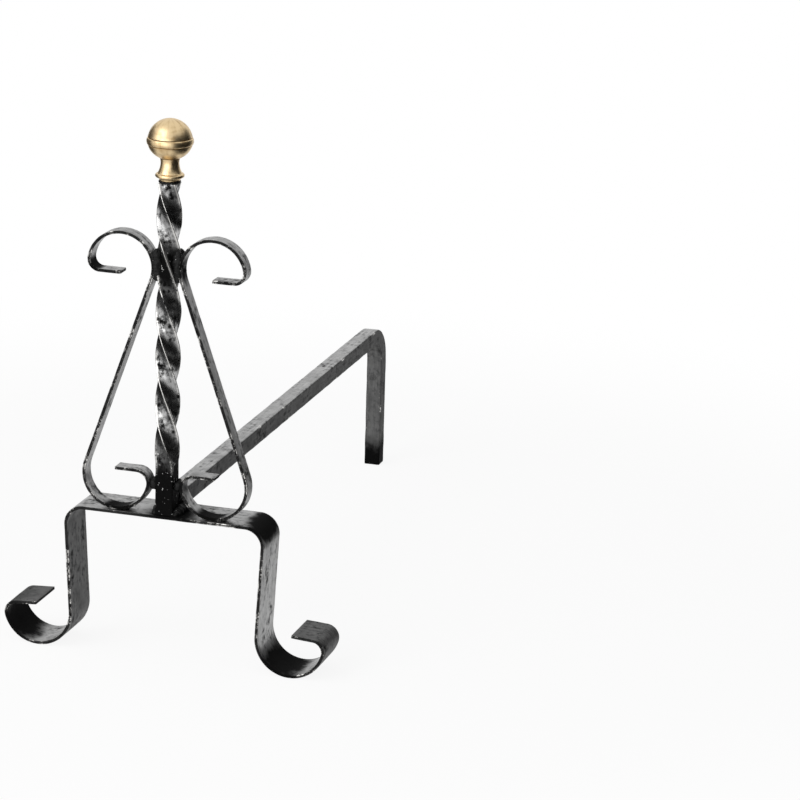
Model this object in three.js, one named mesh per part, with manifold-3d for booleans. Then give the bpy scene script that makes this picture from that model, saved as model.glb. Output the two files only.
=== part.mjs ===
// Andiron (fire dog): a twisted square post on an arched foot of flat bar, two scrolls of narrow flat bar,
// a square log bar that is bent down into the rear leg, and a brass ball finial screwed on top.
// Millimetres, +Z up, floor at z = 0. X is the width, the front faces -Y and the log bar runs to +Y.

import * as THREE from 'three';
import { mergeVertices } from 'three/addons/utils/BufferGeometryUtils.js';
import Module from 'manifold-3d';

const wasm = await Module();
wasm.setup();

const degrees = THREE.MathUtils.degToRad;
const bendStep = degrees(7.5);           // one facet of a wide bend
const tightStep = degrees(11);           // one facet of a tight one

// ---------------------------------------------------------------- driving dimensions

const seatGap = 0.3;                     // clearance where two pieces meet

// Square bar: the post and the log bar
const barSide = 14;
const barCorner = 0.7;                   // chamfer on the log bar's long corners
const postCorner = 1.2;                  // the post's corners are softer, from the hot twisting

// Foot strap: one flat bar that makes the arch, the front legs and the curled feet
const strapWidth = 38;
const strapThickness = 2.5;
const strapEdge = 0.5;                   // chamfer on the long edges
const archHeight = 116.5;                // floor to the strap's top face
const archWidth = 161;                   // outside, over the two upper bends
const archBendRadius = 13;               // inside of the upper bends
const legLean = degrees(3);              // each leg leans in towards its foot
const footRadius = 28.2;                 // outside of the curled foot
const footHookRadius = 10;               // outside of the tight turn at its end
const footHookStart = degrees(75);       // slope of the strap where the tight turn begins
const footTipRise = degrees(4);          // slope of the flat end
const footTipLength = 17;

// Scrolls: narrow flat bar
const scrollWidth = 12;
const scrollThickness = 2.5;
const scrollEdge = 0.4;
const loopRadius = 27.5;                 // outside of the lower loop
const loopHookRadius = 11;               // outside of the hook that ends it
const loopHookStart = degrees(75);       // slope of the strip where the hook begins
const loopTipLength = 17;
const hookWeldWidth = 5;                 // space between the lower hook and the post, filled by a weld
const curlRadius = 26.8;                 // outside of the upper curl
const curlHookRadius = 9.5;
const curlHookStart = degrees(80);
const curlTipLength = 17;
const curlCentreHeight = 308;            // floor to the centre of the upper curl

// Post
const postSetback = 0.5;                 // the strap's front edge to the post's front face
const postHeadHeight = 373.5;            // floor to the top of the post
const plainFootLength = 36.2;
const plainHeadLength = 1.5;
const quarterTurns = 6;                  // left-handed

// Log bar and rear leg
const logBarLength = 538;                // from its front end to the back of the rear leg
const rearBendRadius = 18;               // inside of the bend

// Welds
const baseWeldLeg = 4.5;
const barEndWeldLeg = 5;
const scrollFootWeldLeg = 2.4;
const scrollFootWeldLength = 14;
const neckWeldLength = 25;
const neckWeldWidth = 6.8;               // across the joint
const neckWeldRoot = 1.6;                // the bead's middle lies this far to the post's side of the strip's face
const neckWeldSink = 1.8;                // and this far in from the strip's edge
const neckWeldBulge = 1.2;               // how far it stands proud of that edge
const neckWeldRise = 3;                  // its middle above the curl's centre
const hookWeldHeight = 9;
const hookWeldOverlap = 1.6;             // how far the bead laps the hook and the post
const hookWeldInset = 0.6;               // its ends in from the strip's edges

// Finial: a turned base and a hollow ball of two shells with a bead between them
const studRadius = 4;
const studInPost = 20;
const studAbovePost = 13.5;
const studTipChamfer = 0.8;
const washerRadius = 8.3;
const washerThickness = 1.3;
const insertWall = 1.2;                  // threaded sleeve that is pressed into the base
const insertLength = 12;
const insertRecess = 0.5;
const flangeFootRadius = 7.8;
const flangeRadius = 10.9;
const flangeLift = 3.4;                  // finial's underside to the flange's rim
const flangeRim = 0.5;
const neckRadius = 6.9;
const neckLift = 13.2;                   // finial's underside to the narrowest line
const neckHeadRadius = 7.5;              // where the neck meets the bowl
const spigotRadius = 5.2;                // end of the neck that holds the lower shell
const rivetRadius = 7;
const rivetThickness = 1.2;
const ballLift = 29.5;                   // finial's underside to the ball's centre
const ballRadius = 16.8;
const bowlDepth = 14.2;                  // the lower half is a little shallower than a sphere
const shellWall = 1.2;
const bandRadius = 17.5;
const bandHeight = 5.2;
const bandCollarWall = 1.3;              // ring inside the band that centres both shells
const bandCollarReach = 2;

// ---------------------------------------------------------------- places worked out from the sizes

const postY = postSetback + barSide / 2 - strapWidth / 2;
const postFootHeight = archHeight + seatGap;
const logBarStartY = postY + barSide / 2 + seatGap;
const logBarAxisHeight = postFootHeight + barSide / 2;
const logBarTopHeight = postFootHeight + barSide;
const postEnvelope = Math.hypot(barSide / 2, barSide / 2 - postCorner);
const hookSide = barSide / 2 + hookWeldWidth;
const hookCentreU = hookSide + loopHookRadius;
const loopCentreU = hookCentreU + (loopRadius - loopHookRadius) * Math.sin(loopHookStart);
const loopCentreHeight = archHeight + seatGap + loopRadius;
const hookCentreHeight = loopCentreHeight - (loopRadius - loopHookRadius) * Math.cos(loopHookStart);
const neckSide = postEnvelope + seatGap;
const finialFootHeight = postHeadHeight + seatGap + washerThickness + seatGap;
const ballHeight = finialFootHeight + ballLift;
const frontY = Math.min(-strapWidth / 2, postY - bandRadius);
const rearY = logBarStartY + logBarLength;
const barEndBevel = barEndWeldLeg + seatGap * Math.SQRT2;

// ---------------------------------------------------------------- finishes

const blackPaint = { color: 0x2a2b2c, roughness: 0.55, metalness: 0.4 };
const rubbedPaint = { color: 0x55585a, roughness: 0.5, metalness: 0.55 };
const weldPaint = { color: 0x141414, roughness: 0.7, metalness: 0.3 };
const steel = { color: 0x9a9a98, roughness: 0.4, metalness: 0.9 };
const brass = { color: 0xd9b36a, roughness: 0.22, metalness: 1.0 };

// The origin is on the floor, under the middle of the whole object
const andiron = new THREE.Group();
andiron.name = 'andiron';
andiron.position.y = -(frontY + rearY) / 2;

function addPiece(name, geometry, finish) {
  const piece = new THREE.Mesh(geometry, new THREE.MeshStandardMaterial(finish));
  piece.name = name;
  andiron.add(piece);
  return piece;
}

// ---------------------------------------------------------------- bars bent from straight stock

// The centre line of a bar while it is bent: u runs across, v runs up, and the heading is the way it travels.
class BarPath {
  constructor(u, v, heading) {
    this.stations = [{ u, v, heading }];
  }

  get last() {
    return this.stations[this.stations.length - 1];
  }

  straight(length) {
    const { u, v, heading } = this.last;
    this.stations.push({
      u: u + length * Math.cos(heading),
      v: v + length * Math.sin(heading),
      heading,
    });
    return this;
  }

  // A positive turn bends the bar to the left of its heading. The radius is the centre line's.
  bend(radius, turn, stepSize = bendStep) {
    const { u, v, heading } = this.last;
    const side = Math.sign(turn);
    const centreU = u - side * radius * Math.sin(heading);
    const centreV = v + side * radius * Math.cos(heading);
    const steps = Math.ceil(Math.abs(turn) / stepSize);
    for (let step = 1; step <= steps; step++) {
      const angle = heading + (turn * step) / steps;
      this.stations.push({
        u: centreU + side * radius * Math.sin(angle),
        v: centreV - side * radius * Math.cos(angle),
        heading: angle,
      });
    }
    return this;
  }
}

const mirrored = (stations) =>
  stations.map(({ u, v, heading }) => ({ u: -u, v, heading: Math.PI - heading }));

// A rectangle with its four corners cut, as [across, along] pairs in order round the section
function barSection(thickness, width, chamfer) {
  const a = thickness / 2;
  const b = width / 2;
  return [
    [a - chamfer, b], [a, b - chamfer], [a, chamfer - b], [a - chamfer, -b],
    [chamfer - a, -b], [-a, chamfer - b], [-a, b - chamfer], [chamfer - a, b],
  ];
}

// Skins equal rings of points and closes both ends
function loft(rings) {
  const count = rings[0].length;
  const positions = rings.flat().flatMap((point) => [point.x, point.y, point.z]);
  const triangles = [];
  for (let ring = 0; ring < rings.length - 1; ring++) {
    for (let i = 0; i < count; i++) {
      const a = ring * count + i;
      const b = ring * count + ((i + 1) % count);
      triangles.push(a, b, b + count, a, b + count, a + count);
    }
  }
  const end = (rings.length - 1) * count;
  for (let i = 1; i < count - 1; i++) {
    triangles.push(0, i + 1, i, end, end + i, end + i + 1);
  }
  if (signedVolume(positions, triangles) < 0) triangles.reverse();
  const geometry = new THREE.BufferGeometry();
  geometry.setAttribute('position', new THREE.Float32BufferAttribute(positions, 3));
  geometry.setIndex(triangles);
  geometry.computeVertexNormals();
  return geometry;
}

function signedVolume(positions, triangles) {
  const corner = (index) => new THREE.Vector3().fromArray(positions, 3 * triangles[index]);
  let volume = 0;
  for (let i = 0; i < triangles.length; i += 3) {
    volume += corner(i).dot(corner(i + 1).cross(corner(i + 2))) / 6;
  }
  return volume;
}

// A bar bent in the XZ plane, with its width along Y. grow thickens it, for cutting its neighbours.
function bentBar(stations, thickness, width, chamfer, grow = 0) {
  const section = barSection(thickness + 2 * grow, width + 2 * grow, chamfer);
  return loft(stations.map(({ u, v, heading }) => section.map(([across, along]) =>
    new THREE.Vector3(u - across * Math.sin(heading), along, v + across * Math.cos(heading)))));
}

// ---------------------------------------------------------------- solids that are cut

function toSolid(geometry) {
  const bare = geometry.clone();
  bare.deleteAttribute('normal');
  bare.deleteAttribute('uv');
  const merged = mergeVertices(bare, 1e-4);
  return new wasm.Manifold(new wasm.Mesh({
    numProp: 3,
    vertProperties: merged.attributes.position.array,
    triVerts: new Uint32Array(merged.index.array),
  }));
}

function toGeometry(solid) {
  const mesh = solid.getMesh();
  const geometry = new THREE.BufferGeometry();
  geometry.setAttribute('position', new THREE.Float32BufferAttribute(mesh.vertProperties, 3));
  geometry.setIndex(Array.from(mesh.triVerts));
  geometry.computeVertexNormals();
  return geometry;
}

function cut(blank, cutters) {
  const rest = cutters.reduce((solid, cutter) => solid.subtract(toSolid(cutter)), toSolid(blank));
  const bodies = rest.decompose().sort((a, b) => b.volume() - a.volume());
  return toGeometry(bodies[0]);
}

// ---------------------------------------------------------------- foot strap

// Half of the strap's centre line, from the middle of the arch to the right foot's tip
function halfStrap() {
  const half = strapThickness / 2;
  const bend = archBendRadius + half;
  const foot = footRadius - half;
  const cornerU = archWidth / 2 - archBendRadius - strapThickness;
  const legTop = archHeight - half - bend * (1 + Math.sin(legLean));
  const legFoot = footRadius + foot * Math.sin(legLean);
  return new BarPath(0, archHeight - half, 0)
    .straight(cornerU)
    .bend(bend, -(Math.PI / 2 + legLean))
    .straight((legTop - legFoot) / Math.cos(legLean))
    .bend(foot, Math.PI / 2 + legLean + footHookStart)
    .bend(footHookRadius - half, Math.PI - footHookStart - footTipRise, tightStep)
    .straight(footTipLength)
    .stations;
}

function footStrap() {
  const right = halfStrap();
  const left = right.slice(1).reverse()
    .map(({ u, v, heading }) => ({ u: -u, v, heading: -heading }));
  const stations = [...left, ...right.slice(1)];
  return bentBar(stations, strapThickness, strapWidth, strapEdge);
}

addPiece('foot_strap', footStrap(), rubbedPaint);

// ---------------------------------------------------------------- twisted post

// Square bar, plain at both ends and turned evenly between them. A left-handed twist turns back as it climbs.
function twistedBar(grow = 0) {
  const section = barSection(barSide + 2 * grow, barSide + 2 * grow, postCorner);
  const twistFoot = postFootHeight + plainFootLength;
  const twistLength = postHeadHeight - plainHeadLength - twistFoot;
  const steps = quarterTurns * 10;
  const ring = (height, angle) => section.map(([across, along]) =>
    new THREE.Vector3(across, along, height).applyAxisAngle(new THREE.Vector3(0, 0, 1), angle));
  const rings = [ring(postFootHeight - grow, 0)];
  for (let step = 0; step <= steps; step++) {
    const share = step / steps;
    rings.push(ring(twistFoot + share * twistLength, (-share * quarterTurns * Math.PI) / 2));
  }
  rings.push(ring(postHeadHeight + grow, (-quarterTurns * Math.PI) / 2));
  return loft(rings).translate(0, postY, 0);
}

// The head is drilled for the stud that holds the finial
function twistedPost() {
  const depth = studInPost + seatGap;
  const drill = new THREE.CylinderGeometry(studRadius + seatGap, studRadius + seatGap, 2 * depth, 24)
    .rotateX(Math.PI / 2)
    .translate(0, postY, postHeadHeight);
  return cut(twistedBar(), [drill]);
}

addPiece('twisted_post', twistedPost(), rubbedPaint);

// ---------------------------------------------------------------- log bar and rear leg

// The front end is bevelled on top, so that its weld has a groove to fill and doesn't lie on the bar
function logBar() {
  const bend = rearBendRadius + barSide / 2;
  const path = new BarPath(logBarStartY, logBarAxisHeight, 0)
    .straight(logBarLength - barSide / 2 - bend)
    .bend(bend, -Math.PI / 2)
    .straight(logBarAxisHeight - bend);
  const bar = bentBar(path.stations, barSide, barSide, barCorner).rotateZ(Math.PI / 2);
  const reach = barEndBevel * (Math.SQRT1_2 - 0.5);
  const bevel = new THREE.BoxGeometry(2 * barSide, 2 * barEndBevel, 2 * barEndBevel)
    .rotateX(Math.PI / 4)
    .translate(0, logBarStartY - reach, logBarTopHeight + reach);
  return cut(bar, [bevel]);
}

addPiece('log_bar', logBar(), blackPaint);

// ---------------------------------------------------------------- scrolls

// The right scroll's centre line, from the lower tip to the upper tip. The hook's side stands clear of the post
// by the width of its weld, and the neck of the upper curl touches the round that the twisted corners sweep.
// The long straight is the line that leaves the loop on one side and meets the curl on the other.
function scrollStations() {
  const half = scrollThickness / 2;
  const loop = loopRadius - half;
  const hook = loopHookRadius - half;
  const curl = curlRadius - half;
  const across = neckSide + curlRadius - loopCentreU;
  const rise = curlCentreHeight - loopCentreHeight;
  const spread = Math.hypot(across, rise);
  const lean = Math.atan2(rise, across) + Math.asin((loop + curl) / spread);
  const hookHeading = 2 * Math.PI - loopHookStart;
  return new BarPath(hookCentreU + loopTipLength, hookCentreHeight + hook, Math.PI)
    .straight(loopTipLength)
    .bend(hook, hookHeading - Math.PI, tightStep)
    .bend(loop, 2 * Math.PI + lean - hookHeading)
    .straight(Math.sqrt(spread ** 2 - (loop + curl) ** 2))
    .bend(curl, -(lean + curlHookStart))
    .bend(curlHookRadius - half, curlHookStart - Math.PI, tightStep)
    .straight(curlTipLength)
    .stations;
}

function scroll(stations, grow = 0) {
  return bentBar(stations, scrollThickness, scrollWidth, scrollEdge, grow).translate(0, postY, 0);
}

const rightScrollStations = scrollStations();
const leftScrollStations = mirrored(rightScrollStations);
addPiece('left_scroll', scroll(leftScrollStations), rubbedPaint);
addPiece('right_scroll', scroll(rightScrollStations), rubbedPaint);

// ---------------------------------------------------------------- welds

// A bead of weld metal: an egg that is cut by the bars it joins
function bead(centre, reach, cutters) {
  const egg = new THREE.SphereGeometry(1, 14, 10)
    .rotateX(Math.PI / 2)
    .scale(reach.x, reach.y, reach.z)
    .translate(centre.x, centre.y, centre.z);
  return cut(egg, cutters);
}

// A fillet weld along an inside corner: it fills from the corner along across and up, with a slightly full face.
// With a root it also fills a bevelled groove below the corner.
function fillet(corner, across, up, leg, length, root = 0) {
  const full = 0.56 * leg;
  const outline = new THREE.Shape([
    new THREE.Vector2(0, -root), new THREE.Vector2(leg, 0), new THREE.Vector2(full + leg / 10, full - leg / 10),
    new THREE.Vector2(full - leg / 10, full + leg / 10), new THREE.Vector2(0, leg),
  ]);
  const along = new THREE.Vector3().crossVectors(across, up);
  return new THREE.ExtrudeGeometry(outline, { depth: length, bevelEnabled: false })
    .translate(0, 0, -length / 2)
    .applyMatrix4(new THREE.Matrix4().makeBasis(across, up, along))
    .translate(corner.x, corner.y, corner.z);
}

const rightward = new THREE.Vector3(1, 0, 0);
const rearward = new THREE.Vector3(0, 1, 0);
const upward = new THREE.Vector3(0, 0, 1);

const postCutter = twistedBar(seatGap);
for (const [side, sign, stations] of [['left', -1, leftScrollStations], ['right', 1, rightScrollStations]]) {
  const scrollCutter = scroll(stations, seatGap);
  const cutters = [postCutter, scrollCutter];

  // The scroll's neck to the post, in front and behind
  for (const [place, facing] of [['front', -1], ['back', 1]]) {
    const edgeY = postY + (facing * scrollWidth) / 2;
    const centre = new THREE.Vector3(
      sign * (neckSide - neckWeldRoot), edgeY - facing * neckWeldSink, curlCentreHeight + neckWeldRise);
    const reach = new THREE.Vector3(neckWeldWidth / 2, neckWeldSink + neckWeldBulge, neckWeldLength / 2);
    addPiece(`${side}_neck_weld_${place}`, bead(centre, reach, cutters), weldPaint);
  }

  // The lower hook to the post's plain foot
  const hookCentre = new THREE.Vector3(sign * (hookSide - hookWeldWidth / 2), postY, hookCentreHeight);
  const hookReach = new THREE.Vector3(
    hookWeldWidth / 2 + hookWeldOverlap, scrollWidth / 2 - hookWeldInset, hookWeldHeight / 2);
  addPiece(`${side}_hook_weld`, bead(hookCentre, hookReach, cutters), weldPaint);

  // The lower loop to the strap, behind the strip
  const loopFoot = new THREE.Vector3(
    sign * loopCentreU, postY + scrollWidth / 2 + seatGap, archHeight + seatGap);
  addPiece(`${side}_scroll_foot_weld`,
    fillet(loopFoot, rearward, upward, scrollFootWeldLeg, scrollFootWeldLength), weldPaint);

  // The post's foot and the log bar's end to the strap, in one run from front to rear
  const runFront = postY - barSide / 2 + postCorner;
  const runRear = strapWidth / 2 - strapEdge;
  const barFoot = new THREE.Vector3(
    sign * (barSide / 2 + seatGap), (runFront + runRear) / 2, archHeight + seatGap);
  addPiece(`${side}_base_weld`,
    fillet(barFoot, rightward.clone().multiplyScalar(sign), upward, baseWeldLeg, runRear - runFront), weldPaint);
}

// Across the log bar's bevelled end, against the post's back
const barEnd = new THREE.Vector3(0, logBarStartY, logBarTopHeight);
addPiece('bar_end_weld',
  fillet(barEnd, rearward, upward, barEndWeldLeg, barSide - 2 * barCorner, barEndWeldLeg), weldPaint);

// ---------------------------------------------------------------- finial

// Turns an outline of [radius, lift] points about the post's axis. The outline starts and ends on the axis or
// closes on itself.
function turned(outline, footHeight, segments = 40) {
  const points = outline.map(([radius, lift]) => new THREE.Vector2(radius < 1e-6 ? 0 : radius, lift));
  if (THREE.ShapeUtils.area(points) < 0) points.reverse();
  return new THREE.LatheGeometry(points, segments).rotateX(Math.PI / 2).translate(0, postY, footHeight);
}

addPiece('finial_stud', turned([
  [0, -studInPost], [studRadius, -studInPost], [studRadius, studAbovePost - studTipChamfer],
  [studRadius - studTipChamfer, studAbovePost], [0, studAbovePost],
], postHeadHeight), steel);

const holeRadius = studRadius + seatGap;
addPiece('finial_washer', turned([
  [holeRadius, 0], [washerRadius, 0], [washerRadius, washerThickness], [holeRadius, washerThickness],
  [holeRadius, 0],
], postHeadHeight + seatGap), blackPaint);

const insertRadius = holeRadius + insertWall;
addPiece('finial_insert', turned([
  [holeRadius, 0], [insertRadius, 0], [insertRadius, insertLength], [holeRadius, insertLength], [holeRadius, 0],
], finialFootHeight + insertRecess), steel);

// Lift of the ball's surface below or above its centre, and the radius at a lift
const surfaceDepth = (radius, across, down) => down * Math.sqrt(1 - (radius / across) ** 2);
const surfaceRadius = (lift, across, down) => across * Math.sqrt(1 - (lift / down) ** 2);
const innerRadius = ballRadius - shellWall;
const innerDepth = bowlDepth - shellWall;

// Base: bored for the insert, with its neck passed through the lower shell and riveted over
function finialBase() {
  const boreRadius = insertRadius + seatGap;
  const boreDepth = insertRecess + insertLength + seatGap;
  const seatLift = (radius) => ballLift - seatGap - surfaceDepth(radius, ballRadius, bowlDepth);
  const rivetLift = (radius) => ballLift + seatGap - surfaceDepth(radius, innerRadius, innerDepth);
  const rim = flangeLift + flangeRim;
  const rise = neckLift - rim;
  const outside = new THREE.Path();
  outside.moveTo(flangeFootRadius, 0);
  outside.quadraticCurveTo(flangeFootRadius + 1.4, flangeLift * 0.7, flangeRadius, flangeLift);
  outside.lineTo(flangeRadius, rim);
  outside.bezierCurveTo(flangeRadius - 1.9, rim + rise * 0.28, neckRadius + 0.35, rim + rise * 0.42,
    neckRadius, neckLift);
  outside.quadraticCurveTo(neckRadius, (neckLift + seatLift(neckHeadRadius)) / 2,
    neckHeadRadius, seatLift(neckHeadRadius));
  return turned([
    [0, boreDepth], [boreRadius, boreDepth], [boreRadius, 0],
    ...outside.getPoints(6).map((point) => [point.x, point.y]),
    [spigotRadius, seatLift(spigotRadius)],
    [spigotRadius, rivetLift(spigotRadius)],
    [rivetRadius, rivetLift(rivetRadius)],
    [rivetRadius, rivetLift(rivetRadius) + rivetThickness],
    [0, rivetLift(rivetRadius) + rivetThickness],
  ], finialFootHeight);
}

addPiece('finial_base', finialBase(), brass);

// Points of the ball's surface from one radius to another, above the centre or below it
function surfaceArc(fromRadius, toRadius, across, down, facing, steps) {
  const from = Math.acos(fromRadius / across);
  const to = Math.acos(toRadius / across);
  return Array.from({ length: steps + 1 }, (_, step) => {
    const angle = from + ((to - from) * step) / steps;
    return [across * Math.cos(angle), facing * down * Math.sin(angle)];
  });
}

const shellEdge = bandHeight / 2 + seatGap;
const spigotHole = spigotRadius + seatGap;

addPiece('finial_lower_shell', turned([
  ...surfaceArc(spigotHole, surfaceRadius(shellEdge, ballRadius, bowlDepth), ballRadius, bowlDepth, -1, 8),
  ...surfaceArc(surfaceRadius(shellEdge, innerRadius, innerDepth), spigotHole, innerRadius, innerDepth, -1, 6),
  [spigotHole, -surfaceDepth(spigotHole, ballRadius, bowlDepth)],
], ballHeight), brass);

addPiece('finial_upper_shell', turned([
  ...surfaceArc(0, surfaceRadius(shellEdge, innerRadius, innerRadius), innerRadius, innerRadius, 1, 7),
  ...surfaceArc(surfaceRadius(shellEdge, ballRadius, ballRadius), 0, ballRadius, ballRadius, 1, 10),
], ballHeight), brass);

// Band: a bead outside, and a collar inside that reaches into both shells
function finialBand() {
  const half = bandHeight / 2;
  const reach = half + bandCollarReach;
  const collarFoot = surfaceRadius(reach, innerRadius, innerDepth) - seatGap;
  const collarMouth = surfaceRadius(shellEdge, innerRadius, innerDepth) - seatGap;
  const collarBore = collarFoot - bandCollarWall;
  const beadRoot = surfaceRadius(shellEdge, ballRadius, bowlDepth) - seatGap;
  const bead = Array.from({ length: 9 }, (_, step) => {
    const angle = (step / 8 - 0.5) * Math.PI;
    return [beadRoot + (bandRadius - beadRoot) * Math.cos(angle), half * Math.sin(angle)];
  });
  return turned([
    [collarBore, -reach], [collarFoot, -reach], [collarMouth, -half],
    ...bead,
    [collarMouth, half], [collarFoot, reach], [collarBore, reach], [collarBore, -reach],
  ], ballHeight);
}

addPiece('finial_band', finialBand(), brass);

export default andiron;
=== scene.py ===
# %% [markdown]
# # A fire dog: twisted post, scrolls and a brass ball
#
# An andiron, or fire dog, carries the logs in an open hearth. A smith makes it from plain bar: a square bar
# twisted while it is hot, flat bar rolled into scrolls, and a flat strap bent into an arch with curled feet.
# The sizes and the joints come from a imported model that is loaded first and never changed. Each piece is then
# made again with the detail that a camera sees, stands for its plain solid, and rides on the same body.

# %% Load the frame
import math

import bpy
import numpy as np
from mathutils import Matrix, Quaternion, Vector, noise


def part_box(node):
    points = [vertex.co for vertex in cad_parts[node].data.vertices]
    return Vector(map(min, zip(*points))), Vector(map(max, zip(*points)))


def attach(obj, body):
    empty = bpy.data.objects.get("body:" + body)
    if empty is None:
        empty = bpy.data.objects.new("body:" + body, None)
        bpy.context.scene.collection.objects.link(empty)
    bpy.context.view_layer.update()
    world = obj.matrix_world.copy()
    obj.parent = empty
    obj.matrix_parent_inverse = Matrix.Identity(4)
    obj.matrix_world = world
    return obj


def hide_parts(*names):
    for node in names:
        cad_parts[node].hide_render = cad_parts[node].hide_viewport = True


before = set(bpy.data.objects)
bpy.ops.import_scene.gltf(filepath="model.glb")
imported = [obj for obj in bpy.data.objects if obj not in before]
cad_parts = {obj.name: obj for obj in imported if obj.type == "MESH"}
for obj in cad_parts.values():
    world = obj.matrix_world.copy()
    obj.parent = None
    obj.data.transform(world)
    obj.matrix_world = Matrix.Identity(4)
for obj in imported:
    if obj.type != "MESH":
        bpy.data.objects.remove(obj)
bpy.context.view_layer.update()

# %% [markdown]
# ## Sizes
#
# Most sizes are read from the solids, so that a piece can't drift away from the part it stands for. The rest are
# the smith's own settings, such as the radius of a bend, which a box around a solid can't tell. Blender works in
# metres, and `MM` keeps the numbers readable.

# %% Sizes that every piece shares
MM = 0.001

post_low, post_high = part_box("twisted_post")
strap_low, strap_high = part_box("foot_strap")
bar_low, bar_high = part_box("log_bar")
left_scroll_low, left_scroll_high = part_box("left_scroll")
washer_low, washer_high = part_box("finial_washer")
base_low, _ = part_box("finial_base")
band_low, band_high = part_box("finial_band")

POST_Y = (post_low.y + post_high.y) / 2
STRAP_Y = (strap_low.y + strap_high.y) / 2
STRAP_TOP = strap_high.z
STRAP_WIDTH = strap_high.y - strap_low.y
BAR_SIDE = bar_high.x - bar_low.x
SCROLL_WIDTH = left_scroll_high.y - left_scroll_low.y
SEAT_GAP = post_low.z - strap_high.z
POST_ENVELOPE = post_high.x
FLAT_BAR = 2.5 * MM
FLAT_CORNER = 0.5 * MM
print("post axis at y =", round(POST_Y, 4), "and its head at z =", round(post_high.z, 4))

# %% [markdown]
# ## Bending a bar
#
# A smith lays out a bend on the bar's centre line, because that line keeps its length while the inside is squeezed
# and the outside is stretched. `BarPath` does the same: it walks along the centre line, straight or round a bend,
# and notes where it is and which way it heads. A curve object pulled to shape by eye would look alike, but its
# bends wouldn't be true arcs and nobody would know its length. The path lies in a plane, `u` across and `v` up.

# %% The centre line of a bent bar
STEP = 2.5 * MM          # a station this often along a straight, so that it can be a little uneven
BEND_STEP = math.radians(3)


class BarPath:
    def __init__(self, u, v, heading):
        self.stations = [(u, v, heading, 0.0)]

    def straight(self, length):
        u, v, heading, run = self.stations[-1]
        steps = max(1, math.ceil(length / STEP))
        for step in range(1, steps + 1):
            gone = length * step / steps
            self.stations.append((u + gone * math.cos(heading), v + gone * math.sin(heading), heading, run + gone))
        return self

    def bend(self, radius, turn):
        u, v, heading, run = self.stations[-1]
        side = math.copysign(1, turn)
        centre_u = u - side * radius * math.sin(heading)
        centre_v = v + side * radius * math.cos(heading)
        steps = math.ceil(abs(turn) / BEND_STEP)
        for step in range(1, steps + 1):
            angle = heading + turn * step / steps
            self.stations.append((
                centre_u + side * radius * math.sin(angle),
                centre_v - side * radius * math.cos(angle),
                angle,
                run + radius * abs(turn) * step / steps))
        return self

    def mirrored(self):
        twin = BarPath(0, 0, 0)
        twin.stations = [(-u, v, math.pi - heading, run) for u, v, heading, run in self.stations]
        return twin


print("a quarter bend of 20 mm takes", len(BarPath(0, 0, 0).bend(20 * MM, math.pi / 2).stations), "stations")

# %% [markdown]
# ## The section of a bar
#
# Bar from the mill never has knife edges: its corners are rounded over by a fraction of a millimetre, and that thin
# round is what catches the light. The section below is a rectangle with round corners. Each point also knows its
# outward normal, how close it is to a corner, and whether it lies on a broad face, because the black finish is
# rubbed off the broad faces first and the corners wear bright.

# %% A rounded rectangle, ready to be swept
CORNER_POINTS = 5
EDGE_FADE = 0.9 * MM      # how far in from a corner it counts as an edge


class Section:
    def __init__(self, thickness, width, corner, face_points):
        self.thickness, self.width, self.corner, self.face_points = thickness, width, corner, face_points
        self.normals, self.around, self.edge, self.broad = [], [], [], []
        self.outline = self._trace()

    def _trace(self):
        half_t, half_w, corner = self.thickness / 2, self.width / 2, self.corner
        points = []
        corners = [(half_t - corner, half_w - corner), (-half_t + corner, half_w - corner),
                   (-half_t + corner, -half_w + corner), (half_t - corner, -half_w + corner)]
        for quarter, (a, w) in enumerate(corners):
            for step in range(CORNER_POINTS):
                angle = (quarter + step / (CORNER_POINTS - 1)) * math.pi / 2
                normal = (math.cos(angle), math.sin(angle))
                points.append((a + corner * normal[0], w + corner * normal[1]))
                self.normals.append(normal)
                self.edge.append(1.0)
                self.broad.append(normal[0])
            following = corners[(quarter + 1) % 4]
            normal = (math.cos((quarter + 1) * math.pi / 2), math.sin((quarter + 1) * math.pi / 2))
            length = math.hypot(following[0] - a, following[1] - w)
            for step in range(1, self.face_points + 1):
                share = (1 - math.cos(math.pi * step / (self.face_points + 1))) / 2
                inset = min(share, 1 - share) * length
                points.append((a + (following[0] - a) * share + corner * normal[0],
                               w + (following[1] - w) * share + corner * normal[1]))
                self.normals.append(normal)
                self.edge.append(math.exp(-inset / EDGE_FADE))
                self.broad.append(normal[0])
        closed = points + points[:1]
        self.around = [0.0]
        for here, there in zip(closed, closed[1:]):
            self.around.append(self.around[-1] + math.dist(here, there))
        return np.array(points)

    def shrunk(self, inset):
        """The same outline, drawn in by inset all round."""
        return self.outline - inset * np.array(self.normals)


print("a strap's section has", len(Section(FLAT_BAR, STRAP_WIDTH, FLAT_CORNER, 14).outline), "points")

# %% [markdown]
# ## Sweeping the section
#
# A sweep places one ring of points at every station and skins the rings with quads. The three numbers that the
# finish needs (how far along the bar, how far round it, how close to a corner) are stored on the face corners, so
# that the brushed grain can follow the bar round every bend and through the twist. A curve with a bevel could make
# the sweep, but not carry those numbers. `unevenness` moves the surface in and out by a tenth of a millimetre or
# two, as the hammer and the rolls leave it.

# %% From rings of points to a mesh
HAMMER_MARK = 14 * MM
SMALL_MARK = 4 * MM
END_WEAR = 0.6            # a cut end is worn like a place near a corner


def unevenness(along, around, seed, height, size=HAMMER_MARK):
    """A smooth, repeatable wobble in metres: broad marks, and small ones a third as deep."""
    broad = noise.noise(Vector((along / size, around / size, seed)))
    small = noise.noise(Vector((along / SMALL_MARK, around / SMALL_MARK, seed + 9)))
    return height * broad + height / 3 * small


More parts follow.
